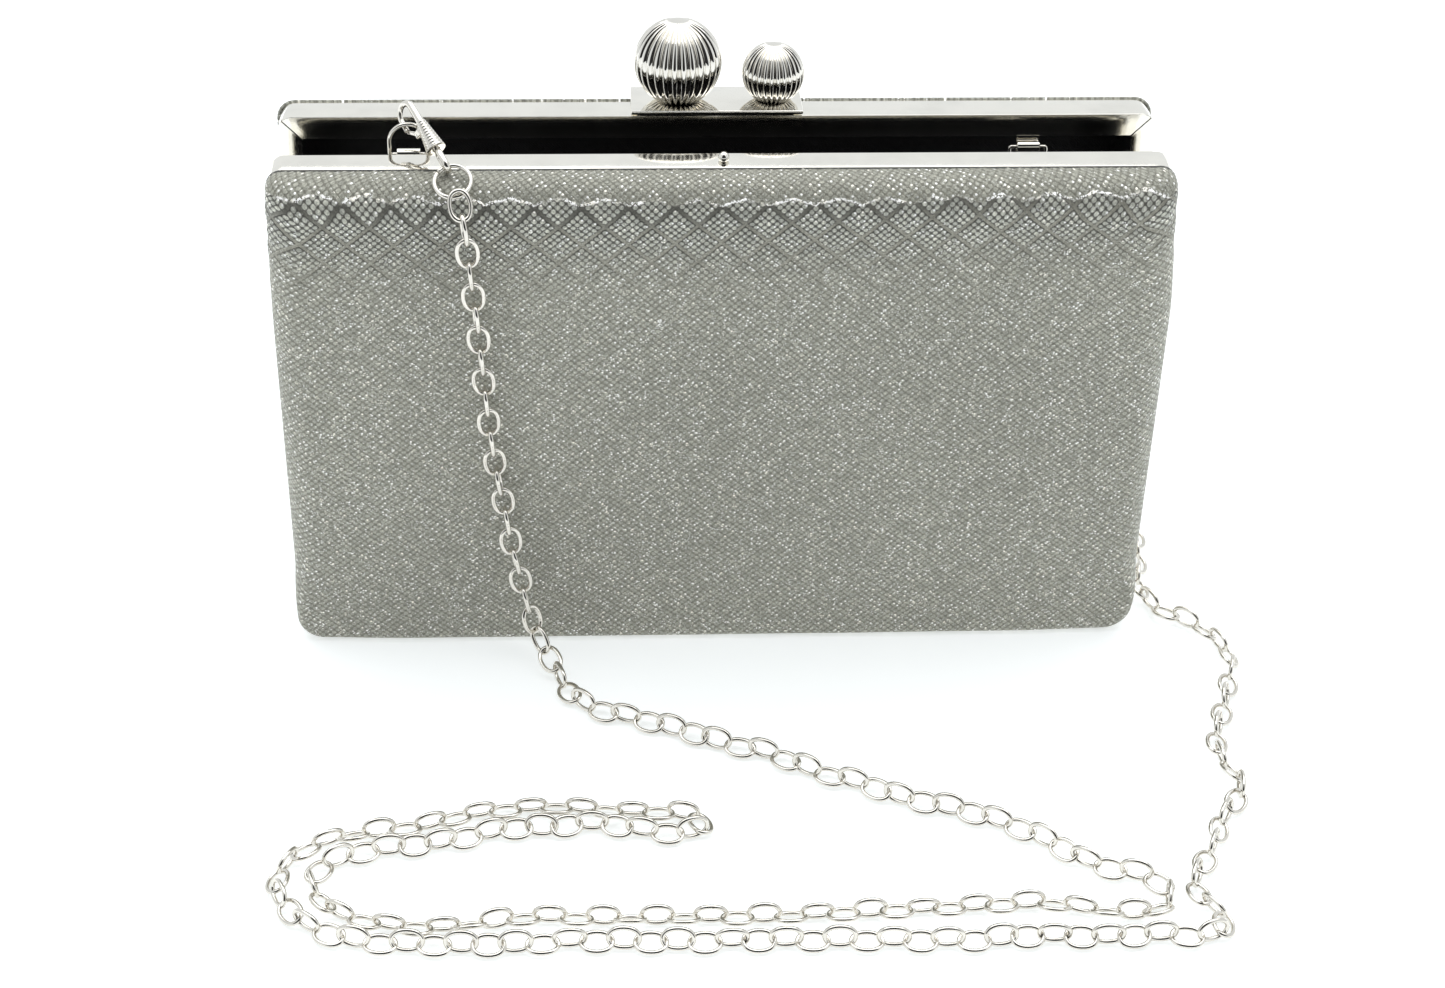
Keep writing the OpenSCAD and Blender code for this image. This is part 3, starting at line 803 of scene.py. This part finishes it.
def knob(name, x, d):
    """Ball with rounded ribs that run out into a smooth cap at the top."""
    ribs, per_rib, rows = 28, 10, 72
    r, y, z = d / 2, 6.0, PLATE_TOP + d / 2 - 1
    rings = []
    for i in range(1, rows):
        polar = math.pi * i / rows
        if r * math.cos(polar) < 1 - r:
            break
        depth = 0.1 * smooth(math.degrees(polar), 10, 38)
        ring = []
        for k in range(ribs * per_rib):
            turn = 2 * math.pi * k / (ribs * per_rib)
            rib = abs(math.sin(ribs * turn / 2))
            rr = r * (1 - depth * (1 - rib) ** 1.3)
            ring.append(
                Vector((
                    x + rr * math.sin(polar) * math.cos(turn),
                    y + rr * math.sin(polar) * math.sin(turn),
                    max(z + rr * math.cos(polar), PLATE_TOP),
                ))
            )
        rings.append(ring)
    m = len(rings[0])
    verts, faces = loft(rings, closed=False, cap=False)
    top, base = len(verts), len(verts) + 1
    verts += [Vector((x, y, z + r)), Vector((x, y, PLATE_TOP))]
    faces = [tuple(reversed(f)) for f in faces]
    for k in range(m):
        l = (k + 1) % m
        faces.append((top, k, l))
        faces.append((base, (len(rings) - 1) * m + l, (len(rings) - 1) * m + k))
    piece(name + "_ribbed", verts, faces, PLACE["rear"], NICKEL_KNOB, "rear_half", (name,))


def clasp():
    """Plate with two knobs on the rear frame, and the catch bead on the front one."""
    plate = block((-21.1, -1.9, 133.0), (19.9, 14.1, PLATE_TOP), 0.3, 3)
    rear = PLACE["rear"]
    piece("clasp_plate_metal", *plate, rear, NICKEL, "rear_half", ("clasp_plate",), sharp=18)
    spacer = block((-19.1, 1.15, 132.0), (17.9, 9.15, 133.0), 0.15)
    piece("plate_spacer_metal", *spacer, rear, NICKEL, "rear_half", ("plate_spacer",), sharp=18)
    knob("large_knob", -9.8, 21.0)
    knob("small_knob", 13.0, 15.0)
    bead = [(0.0, 132.0), (0.85, 132.0), (0.95, 132.15), (0.8, 132.35), (0.75, 132.4)]
    bead += [(r, h) for r, h in arc_points((0, 132.95), 1.3, -48, 90, 16)]
    bead = [(max(r, 0.001), h) for r, h in bead]
    part = moved(lathe(bead, 32), Matrix.Translation((0, 3.5, 0)))
    piece("catch_bead_metal", *part, PLACE["front"], NICKEL_KNOB, "front_half", ("catch_bead",))


# ---------------------------------------------------------------- rings and tabs


def strip(path, width, thick, bevel=0.08):
    """A metal strip of this width along x, following a path of (y, z) points down its middle."""
    rings = []
    count = len(path)
    section = [(-1, -1), (1, -1), (1, 1), (-1, 1)]
    for i in range(count):
        a, b = Vector(path[max(i - 1, 0)]), Vector(path[min(i + 1, count - 1)])
        t = (b - a).normalized()
        n = Vector((-t[1], t[0]))
        ring = []
        for sx, sn in section:
            for ox, on in ((bevel, 0), (0, bevel)) if sx * sn > 0 else ((0, bevel), (bevel, 0)):
                off = n * sn * (thick / 2 - on)
                y, z = path[i][0] + off[0], path[i][1] + off[1]
                ring.append(Vector((sx * (width / 2 - ox), y, z)))
        rings.append(ring)
    return loft(rings, closed=False)


LEFT_TAB_X, RIGHT_TAB_X = -73, 74.5
LEFT_RING_Z, RIGHT_RING_Z = 130.8, 123.9
TAB_W, TAB_T, TAB_R = 5.4, 0.45, 1.25
TAB_FOLD_Z = 126.4


def tabs():
    """Metal straps folded round the lips, each rolled round its ring."""
    fold = TAB_FOLD_Z
    left = [(-1.2, 129.0), (-1.2, fold), (-1.1, fold - 0.22), (-0.9, fold - 0.27)]
    left += [(-0.1, fold - 0.27), (0.08, fold - 0.2), (0.12, fold), (0.12, 129.0)]
    left += arc_points((0.62, 129.0), 0.5, 180, 120, 3)
    left += arc_points((1.9, LEFT_RING_Z), TAB_R, 225, 540, 26)
    part = moved(strip(left, TAB_W, TAB_T), Matrix.Translation((LEFT_TAB_X, 0, 0)))
    piece("left_tab_strip", *part, IN_FRONT, NICKEL, "front_half", ("left_ring_tab",), sharp=25)
    right = [(0.0, fold + 0.25), (0.0, fold - 0.15), (0.12, fold - 0.27), (0.8, fold - 0.3)]
    right += [(1.1, fold - 0.6), (1.17, RIGHT_RING_Z + 0.6)]
    right += arc_points((-0.3, RIGHT_RING_Z), TAB_R, 30, -250, 24)
    part = moved(strip(right, TAB_W, TAB_T), Matrix.Translation((RIGHT_TAB_X, 0, 0)))
    back = block(
        (RIGHT_TAB_X - TAB_W / 2, 1.0, fold - 0.4), (RIGHT_TAB_X + TAB_W / 2, 1.45, 128.8), 0.08
    )
    part = merge([part, back])
    rear = PLACE["rear"]
    piece("right_tab_strip", *part, rear, NICKEL, "rear_half", ("right_ring_tab",), sharp=25)


def d_ring_path():
    """Straight bar along x at the bottom, bow above it."""
    path = [(-4.4, 0, 0.45), (-4.4, 0, 1.6), (-4.4, 0, 3.1)]
    path += [(x, 0, 3.1 + h) for x, h in arc_points((0, 0), 4.4, 180, 0, 28)[1:]]
    path += [(4.4, 0, 1.6), (4.4, 0, 0.45)]
    path += [(4.3, 0, 0.12), (4.05, 0, 0)]
    path += [(4.05 - 8.1 * i / 12, 0, 0) for i in range(1, 12)]
    return path + [(-4.05, 0, 0), (-4.3, 0, 0.12)]


def d_rings():
    """The left ring stands up, held by the hook; the right one hangs plumb."""
    ring = wire(d_ring_path(), 0.5, closed=True, sides=14, up=(0, 1, 0))
    left = IN_FRONT @ Matrix.Translation((LEFT_TAB_X, 1.9, LEFT_RING_Z)) @ turned(-8, "X")
    piece("left_d_ring_wire", *ring, left, NICKEL_WIRE, "left_ring", ("left_d_ring",))
    right = PLACE["rear"] @ Matrix.Translation((RIGHT_TAB_X, -0.3, RIGHT_RING_Z))
    right = right @ Matrix.Rotation(math.pi + LEAN, 4, "X")
    piece("right_d_ring_wire", *ring, right, NICKEL_WIRE, "right_ring", ("right_d_ring",))


# ---------------------------------------------------------------- snap hooks

HOOK_AT = Vector((-66.1, -6, 136.8))
FAR_HOOK_AT = Vector((72.5, 72.3, 2.25))
THROAT, BEND_Z, LEG_Z = 5.2, 12.6, 9.7
GATE_X, GATE_Z = 2.1, 6.2
EYE_NEAR, EYE_FAR, EYE_R = -2.2, -4.65, 1.6
ON_GATE_AXIS = Matrix.Translation((GATE_X, 0, GATE_Z)) @ turned(90, "X")


def hook_matrix(roll):
    """Place of the near hook, turned about its swivel by roll."""
    turn = turned(120, "Z") @ turned(65, "Y")
    return IN_FRONT @ Matrix.Translation(HOOK_AT) @ turn @ turned(roll, "Z")


def far_matrix(roll):
    """Place of the far hook, which lies on the table behind the case."""
    return Matrix.Translation(FAR_HOOK_AT) @ turned(-90, "Y") @ turned(roll, "Z")


def hook_body():
    """Ribbed taper, shank, bend and leg, with cheeks for the gate."""
    ribs, length, r0, r1 = 10, 8.4, 2.4, 1.2
    profile = [(0.85, 2.6), (0.86, 0.3), (1.0, 0.05), (r0 - 0.2, 0.0), (r0 - 0.05, 0.08)]
    steps = ribs * 8
    for i in range(1, steps):
        f = i / steps
        wave = 0.16 * (1 - abs(math.sin(math.pi * ribs * f))) ** 0.8
        profile.append((r0 + (r1 - r0) * f - wave, 0.1 + (length - 0.2) * f))
    profile += [(r1 - 0.1, length - 0.1), (0.7, length + 0.15), (0.001, length + 0.2)]
    barrel = lathe([(0.001, 2.6)] + profile, 40)
    line = [(0, 0, length - 0.5), (0, 0, 9.0), (0, 0, 10.8)]
    line += [(x, 0, h) for x, h in arc_points((THROAT / 2, BEND_Z - 0.0), THROAT / 2, 180, 0, 22)]
    line += [(THROAT, 0, 11.4), (THROAT, 0, LEG_Z + 0.1), (THROAT, 0, LEG_Z)]
    count = len(line)
    radii = [0.95 - 0.33 * smooth(i / count, 0.0, 0.55) for i in range(count)]
    radii[-1] = 0.42
    bend = wire(line, radii, sides=16, flat=1.0, up=(0, 1, 0))
    cheeks = [block((0.4, s - 0.28, 5.3), (2.55, s + 0.28, 7.0), 0.18, 3) for s in (-1.02, 1.02)]
    return merge([barrel, bend] + cheeks)


def hook_gate():
    """Lever that closes the throat, with its boss."""
    tip = Vector((THROAT, LEG_Z - 0.15))
    reach = tip - Vector((GATE_X, GATE_Z))
    lever = block((-0.42, -0.58, -0.3), (0.42, 0.58, reach.length - 0.35), 0.2, 3)
    turn = Matrix.Rotation(math.atan2(reach[0], reach[1]), 4, "Y")
    lever = moved(lever, Matrix.Translation((GATE_X, 0, GATE_Z)) @ turn)
    boss = [(0.001, -0.6), (0.65, -0.6), (0.73, -0.5), (0.73, 0.5), (0.65, 0.6), (0.001, 0.6)]
    return merge([lever, moved(lathe(boss, 24), ON_GATE_AXIS)])


def gate_pin():
    """Pin through the cheeks and the gate's boss."""
    end = [(0.001, 1.38), (0.3, 1.38), (0.36, 1.3)]
    pin = [(r, -h) for r, h in end] + end[::-1]
    return moved(lathe(pin, 20), ON_GATE_AXIS)


def hook_eye():
    """Long loop for the jump ring, with its stem in the taper."""
    line = [(x, 0, EYE_NEAR + h) for x, h in arc_points((0, 0), EYE_R, 0, 180, 14)]
    line += [(x, 0, EYE_FAR + h) for x, h in arc_points((0, 0), EYE_R, 180, 360, 14)]
    loop = wire(line, 0.5, closed=True, sides=14, flat=1.5, up=(0, 1, 0))
    stem = [(0.001, -0.9), (0.75, -0.9), (0.8, -0.7), (0.8, 2.3), (0.7, 2.4), (0.001, 2.4)]
    return merge([loop, lathe(stem, 28)])


def jump_ring():
    """Round wire ring with its butt joint left showing."""
    r = 4.2
    gap = 1.6
    line = [(x, y, 0) for x, y in arc_points((0, 0), r, gap, 360 - gap, 60)]
    return wire(line, 0.55, closed=False, sides=16, up=(0, 0, 1))


def hooks():
    near_ring = IN_FRONT @ Matrix.Translation((-62.3, -13.6, 132.9))
    near_ring = near_ring @ turned(-7.8, "Z") @ turned(27.5, "X")
    far_ring = Matrix.Translation((FAR_HOOK_AT[0] - EYE_FAR + 4.2, FAR_HOOK_AT[1], 1.8))
    ends = (
        ("near", hook_matrix(20), hook_matrix(-17), near_ring @ turned(150, "Z")),
        ("far", far_matrix(90), far_matrix(0), far_ring @ turned(40, "Z")),
    )
    for name, body_m, eye_m, ring_m in ends:
        for made, part, place, body, node, sharp in (
            ("hook_metal", hook_body(), body_m, name + "_hook", "hook_body", 55),
            ("gate_metal", hook_gate(), body_m, name + "_gate", "hook_gate", 40),
            ("pin_metal", gate_pin(), body_m, name + "_hook", "gate_pin", 40),
            ("eye_metal", hook_eye(), eye_m, "front_half", "hook_eye", 40),
            ("ring_wire", jump_ring(), ring_m, "front_half", "jump_ring", None),
        ):
            node = name + "_" + node
            piece(name + "_" + made, *part, place, NICKEL_WIRE, body, (node,), sharp=sharp)


# ---------------------------------------------------------------- chain

LAY = 2.5
PITCH, STEP = 6.0, 0.4
LINK_L, LINK_W, LINK_R = 8.2, 5.9, 0.56

HANGING = [
    (-61, -27, 132), (-60, -31, 127), (-59, -31, 117), (-58, -30, 104), (-57, -29, 89), (-56, -28, 75),
    (-55, -27, 62), (-53, -26, 48), (-51, -26, 33), (-48, -26, 18), (-45, -28, 7),
]
LYING = [
    (-40, -37), (-37, -45), (-31, -51), (-21, -55), (-10, -60), (0, -65), (11, -69),
    (21, -76), (32, -81), (42, -87), (54, -91), (64, -96), (73, -102), (81, -110),
    (88, -113), (96, -116), (99, -120), (98, -126), (92, -128), (81, -127), (70, -124),
    (52, -125), (30, -126), (10, -127), (-9, -127), (-27, -127), (-46, -126), (-57, -128),
    (-69, -129), (-81, -127), (-90, -123), (-94, -118), (-96, -112), (-92, -106), (-82, -102),
    (-71, -101), (-60, -98), (-49, -95), (-43, -96), (-32, -94), (-20, -97), (-10, -98),
    (-5, -95), (-10, -91), (-25, -90), (-42, -88), (-60, -90), (-71, -94), (-83, -96),
    (-94, -99), (-101, -105), (-104, -114), (-101, -121), (-95, -128), (-83, -133), (-71, -134),
    (-53, -135), (-34, -134), (-10, -135), (20, -135), (49, -136), (66, -135), (83, -136),
    (95, -135), (105, -136), (111, -132), (108, -127), (105, -120), (107, -114), (111, -108),
    (114, -101), (117, -94), (122, -88), (123, -82), (120, -75), (120, -67), (122, -60),
    (125, -52), (127, -45), (130, -36), (129, -29), (125, -21), (119, -15), (113, -9),
    (112, 0), (114, 12), (115, 28), (113, 44), (109, 58), (101, 68), (86, 72),
]


def chain_line(step=STEP):
    """Dense points along the chain's centre line, evenly spaced."""
    knots = [Vector(p) for p in HANGING] + [Vector((x, y, LAY)) for x, y in LYING]
    knots = [knots[0] * 2 - knots[1]] + knots + [knots[-1] * 2 - knots[-2]]
    dense = []
    for i in range(1, len(knots) - 2):
        a, b, c, d = knots[i - 1 : i + 3]
        for k in range(24):
            t = k / 24
            square, cube = 2 * a - 5 * b + 4 * c - d, 3 * b - a - 3 * c + d
            p = 0.5 * (2 * b + (c - a) * t + square * t * t + cube * t ** 3)
            p[2] = max(p[2], LAY)
            dense.append(p)
    dense.append(knots[-2].copy())
    out, carried = [dense[0].copy()], 0.0
    for a, b in zip(dense, dense[1:]):
        d = (b - a).length
        while carried + d >= step:
            a = a + (b - a) * ((step - carried) / d)
            out.append(a.copy())
            d = (b - a).length
            carried = 0.0
        carried += d
    return out


def link_shape(sides=10, around=28):
    """Oval wire link along x, lying in the x-y plane."""
    a, b = LINK_L / 2 - LINK_R, LINK_W / 2 - LINK_R
    path = []
    for i in range(around):
        c, w = math.cos(2 * math.pi * i / around), math.sin(2 * math.pi * i / around)
        path.append((a * math.copysign(abs(c) ** 0.9, c), b * math.copysign(abs(w) ** 0.9, w), 0))
    return wire(path, LINK_R, closed=True, sides=sides, up=(0, 0, 1))


def chain():
    """Links turned about a quarter turn each, hanging on the front and lying on the table."""
    line = chain_line()
    stride = round(PITCH / STEP)
    link = link_shape()
    parts = []
    count = (len(line) - 1) // stride
    up = Vector((0, -math.cos(math.radians(35)), math.sin(math.radians(35))))
    for i in range(count):
        a, b = line[i * stride], line[(i + 1) * stride]
        mid, t = (a + b) / 2, (b - a).normalized()
        lift = up if mid[2] > 12 else Vector((0, 0, 1))
        s = lift.cross(t).normalized()
        n = t.cross(s).normalized()
        edge_on = i % 2 == 1
        roll = (90 if edge_on else 0) + RNG.uniform(-13, 13) + (22 if not edge_on else -8)
        if mid[2] > 12:
            roll = (90 if edge_on else 0) + RNG.uniform(-10, 10)
        c, w = math.cos(math.radians(roll)), math.sin(math.radians(roll))
        y_axis, z_axis = s * c + n * w, n * c - s * w
        m = Matrix((t, y_axis, z_axis)).transposed().to_4x4()
        low = (LINK_W / 2 - LINK_R) * abs(y_axis[2]) + LINK_R
        centre = mid.copy()
        if mid[2] <= LAY + 0.3:
            centre[2] = max(low, 1.35) + 0.05
        m.translation = centre
        parts.append(moved(link, m))
    verts, faces = merge(parts)
    obj = piece(
        "strap_chain_links", verts, faces, None, NICKEL_WIRE, "front_half", ("strap_chain",)
    )


# ---------------------------------------------------------------- stage


def camera():
    pitch, yaw, roll = 0.5881, 0.0562, -0.021
    level = math.cos(pitch)
    fw = Vector((math.sin(yaw) * level, math.cos(yaw) * level, -math.sin(pitch)))
    right = Vector((math.cos(yaw), -math.sin(yaw), 0))
    down = fw.cross(right)
    x_axis = math.cos(roll) * right + math.sin(roll) * down
    y_axis = math.sin(roll) * right - math.cos(roll) * down
    m = Matrix((x_axis, y_axis, -fw)).transposed().to_4x4()
    m.translation = Vector((-31.95, -604.96, 435.13)) * MM
    data = bpy.data.cameras.new("camera")
    data.lens, data.sensor_width = 71.0, 36.0
    data.clip_start, data.clip_end = 0.01, 50
    obj = bpy.data.objects.new("camera", data)
    obj.matrix_world = m
    bpy.context.scene.collection.objects.link(obj)
    bpy.context.scene.camera = obj


def area_light(name, place, target, size, power, colour=(1, 1, 1)):
    data = bpy.data.lights.new(name, "AREA")
    data.shape, data.size, data.size_y = "RECTANGLE", size[0], size[1]
    data.energy, data.color = power, colour
    obj = bpy.data.objects.new(name, data)
    obj.location = place
    obj.rotation_mode = "QUATERNION"
    obj.rotation_quaternion = (Vector(target) - Vector(place)).to_track_quat("-Z", "Y")
    bpy.context.scene.collection.objects.link(obj)


def stage():
    mesh = bpy.data.meshes.new("floor")
    mesh.from_pydata([(-6, -6, 0), (6, -6, 0), (6, 6, 0), (-6, 6, 0)], [], [(0, 1, 2, 3)])
    n = Nodes("floor_paper", None)
    grain = n.noise(30.0, 3.0)
    n.set(
        Base_Color=n.mix(grain, rgb(0.70, 0.715, 0.725), rgb(0.72, 0.735, 0.745)),
        Roughness=0.6,
        Emission_Color=rgb(0.97, 1.0, 1.0),
        Emission_Strength=0.55,
    )
    mesh.materials.append(n.material)
    floor = bpy.data.objects.new("floor", mesh)
    floor.location = (0, 0, -0.0004)
    bpy.context.scene.collection.objects.link(floor)
    world = bpy.data.worlds.new("studio")
    bpy.context.scene.world = world
    world.use_nodes = True
    tree = world.node_tree
    back = tree.nodes["Background"]
    coord = tree.nodes.new("ShaderNodeTexCoord")
    parts = tree.nodes.new("ShaderNodeSeparateXYZ")
    tree.links.new(coord.outputs["Generated"], parts.inputs[0])

    def step(operation, a, b, c=0.0):
        node = tree.nodes.new("ShaderNodeMath")
        node.operation = operation
        for socket, v in zip(node.inputs, (a, b, c)):
            if isinstance(v, bpy.types.NodeSocket):
                tree.links.new(v, socket)
            else:
                socket.default_value = v
        return node.outputs[0]

    # white walls all round but for the open side the camera looks in from
    width = step("ABSOLUTE", parts.outputs[0], 0.0)
    ahead = step("MULTIPLY_ADD", width, -0.75, step("MULTIPLY", parts.outputs[1], -1.0))
    side = tree.nodes.new("ShaderNodeMapRange")
    side.interpolation_type = "SMOOTHSTEP"
    for i, v in enumerate((0.02, 0.4, 0.92, 0.03)):
        side.inputs[i + 1].default_value = v
    tree.links.new(ahead, side.inputs[0])
    tree.links.new(side.outputs[0], back.inputs["Strength"])
    back.inputs["Color"].default_value = (0.95, 0.98, 1.0, 1)
    area_light("key", (0.1, 0.5, 2.2), (0, 0, 0.05), (3.4, 2.6), 35)
    bpy.context.scene.view_settings.view_transform = "Standard"


camera()
for half in ("front", "rear"):
    cover(half)
    lining(half)
    metal_frame(half)
clasp()
tabs()
d_rings()
hooks()
chain()
stage()

LOOKS = {look.slot: look for look in (NICKEL, LINING, FOAM, BOARD, FABRIC)}
SLOTS = {s["node"]: s["material_slot"] for s in frame["record"]["subparts"]}
for node_name, node_obj in frame["nodes"].items():
    node_obj.data.materials.clear()
    node_obj.data.materials.append(LOOKS[SLOTS[node_name]].material)
